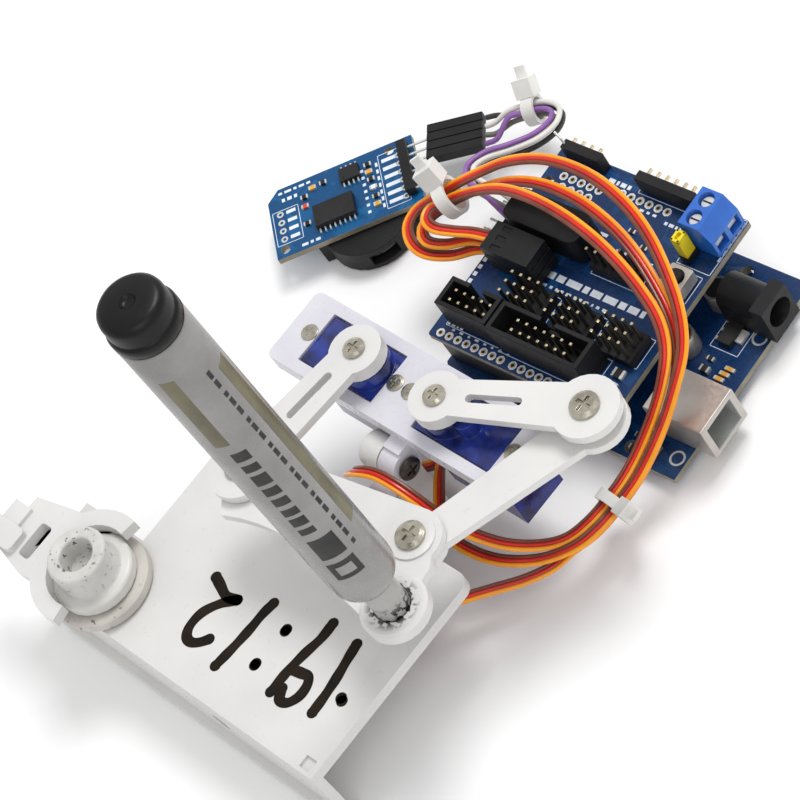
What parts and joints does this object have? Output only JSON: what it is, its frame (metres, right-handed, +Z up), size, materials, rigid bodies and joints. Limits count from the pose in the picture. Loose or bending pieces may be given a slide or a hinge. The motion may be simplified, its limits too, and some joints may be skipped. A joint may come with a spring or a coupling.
{
  "type": "scara robot arm",
  "caption": "Desktop plotter arm: a five-bar linkage on a lifting frame moves a marker over a small writing board, with an eraser, controller boards and servo wiring.",
  "frame": {"origin": "on the floor, under the middle of the writing board's rear edge, on the rear stand's floor plate", "axes": "+Z up, +X along the board's long edge towards the parked marker, +Y from the board towards the electronics"},
  "size_m": [0.1455, 0.1685, 0.1604],
  "materials": {
    "white": "smooth injection-moulded plastic",
    "frame_white": "smooth plastic with a faint lavender tint",
    "servo_blue": "translucent deep blue case",
    "nickel": "satin nickel plating",
    "dark_steel": "blackened",
    "brass": "dull",
    "felt": "stained felt",
    "black": "moulded",
    "barrel": "printed sleeve",
    "pcb": "blue solder mask on glass laminate",
    "terminal_blue": "moulded",
    "lead_red": "three-wire ribbon",
    "jumper_black": "soft insulation",
    "jumper_white": "soft insulation",
    "jumper_grey": "soft insulation",
    "jumper_purple": "soft insulation",
    "nylon": "nylon"
  },
  "bodies": {
    "base": {"board_base": "white", "skirt_screw": "brass", "rear_stand": "white", "hinge_screw": "dark_steel", "eraser_clip": "white", "lift_servo": "servo_blue", "controller_board": "pcb", "usb_socket": "nickel", "power_jack": "black", "stack_header": "black", "shield_board": "pcb", "box_header_small": "black", "box_header_large": "black", "pin_block_1": "black", "pin_block_2": "black", "pin_block_3": "black", "pin_block_4": "black", "servo_plug_1": "black", "servo_plug_2": "black", "servo_plug_3": "black", "jumper_plug_bank": "black", "rear_header": "black", "terminal_block": "terminal_blue", "reset_base": "nickel", "clock_board": "pcb", "clock_cell_holder": "black", "clock_header": "black", "jumper_housings": "black", "servo_tie": "nylon", "bundle_tie": "nylon", "jumper_tie": "nylon", "lead_left_servo": "lead_red", "lead_right_servo": "lead_red", "lead_lift_servo": "lead_red", "jumper_black": "jumper_black", "jumper_white": "jumper_white", "jumper_grey": "jumper_grey", "jumper_purple": "jumper_purple"},
    "lift_frame": {"frame_plate": "frame_white", "left_servo": "servo_blue", "right_servo": "servo_blue", "ear_screw_1": "nickel", "ear_screw_2": "nickel", "ear_screw_3": "nickel", "ear_screw_4": "nickel"},
    "left_arm": {"left_arm": "white", "left_horn_screw": "nickel", "left_elbow_screw": "nickel"},
    "right_arm": {"right_arm": "white", "right_horn_screw": "nickel", "right_elbow_screw": "nickel"},
    "left_forearm": {"left_forearm": "white", "wrist_screw": "nickel"},
    "right_forearm": {"right_forearm": "white"},
    "marker": {"marker_barrel": "barrel", "marker_cap": "black"},
    "eraser": {"eraser_felt": "felt", "eraser_cap": "white"},
    "lift_horn": {"lift_horn": "white"},
    "reset_button": {"reset_button": "black"}
  },
  "joints": [
    {"name": "lift_hinge", "type": "hinge", "parent": "base", "child": "lift_frame", "pos_m": [0, 0.0126, 0.0292], "axis": [-1, 0, 0], "range_deg": [0, 12]},
    {"name": "lift_horn_hinge", "type": "hinge", "parent": "base", "child": "lift_horn", "pos_m": [0.002, 0.0042, 0.0095], "axis": [0, -1, 0], "range_deg": [0, 14.7]},
    {"name": "right_arm_hinge", "type": "hinge", "parent": "lift_frame", "child": "right_arm", "pos_m": [0.02, 0.025, 0.0434], "axis": [0, 0, 1], "range_deg": [-28, 14]},
    {"name": "left_arm_hinge", "type": "hinge", "parent": "lift_frame", "child": "left_arm", "pos_m": [-0.005, 0.025, 0.0434], "axis": [0, 0, 1], "range_deg": [-38.5, 19.3]},
    {"name": "left_elbow_hinge", "type": "hinge", "parent": "left_arm", "child": "left_forearm", "pos_m": [-0.009, -0.0098, 0.0409], "axis": [0, 0, 1], "range_deg": [-14.7, 29.3]},
    {"name": "right_elbow_hinge", "type": "hinge", "parent": "right_arm", "child": "right_forearm", "pos_m": [0.052, 0.0391, 0.0384], "axis": [0, 0, 1], "range_deg": [-11.9, 6]},
    {"name": "marker_slide", "type": "slide", "parent": "left_forearm", "child": "marker", "axis": [0, 0, 1], "range_m": [-0.0105, 0.03]},
    {"name": "eraser_slide", "type": "slide", "parent": "base", "child": "eraser", "axis": [1, 0, 0], "range_m": [0, 0.03]},
    {"name": "reset_slide", "type": "slide", "parent": "base", "child": "reset_button", "axis": [0, 0, -1], "range_m": [0, 0.0004], "stiffness_N_per_m": 400}
  ],
  "couplings": [
    {"joint": "lift_horn_hinge", "follows": "lift_hinge", "ratio": 1.22},
    {"joint": "left_arm_hinge", "follows": "right_arm_hinge", "ratio": 1.371},
    {"joint": "left_elbow_hinge", "follows": "right_arm_hinge", "ratio": -1.042},
    {"joint": "right_elbow_hinge", "follows": "right_arm_hinge", "ratio": 0.421}
  ]
}
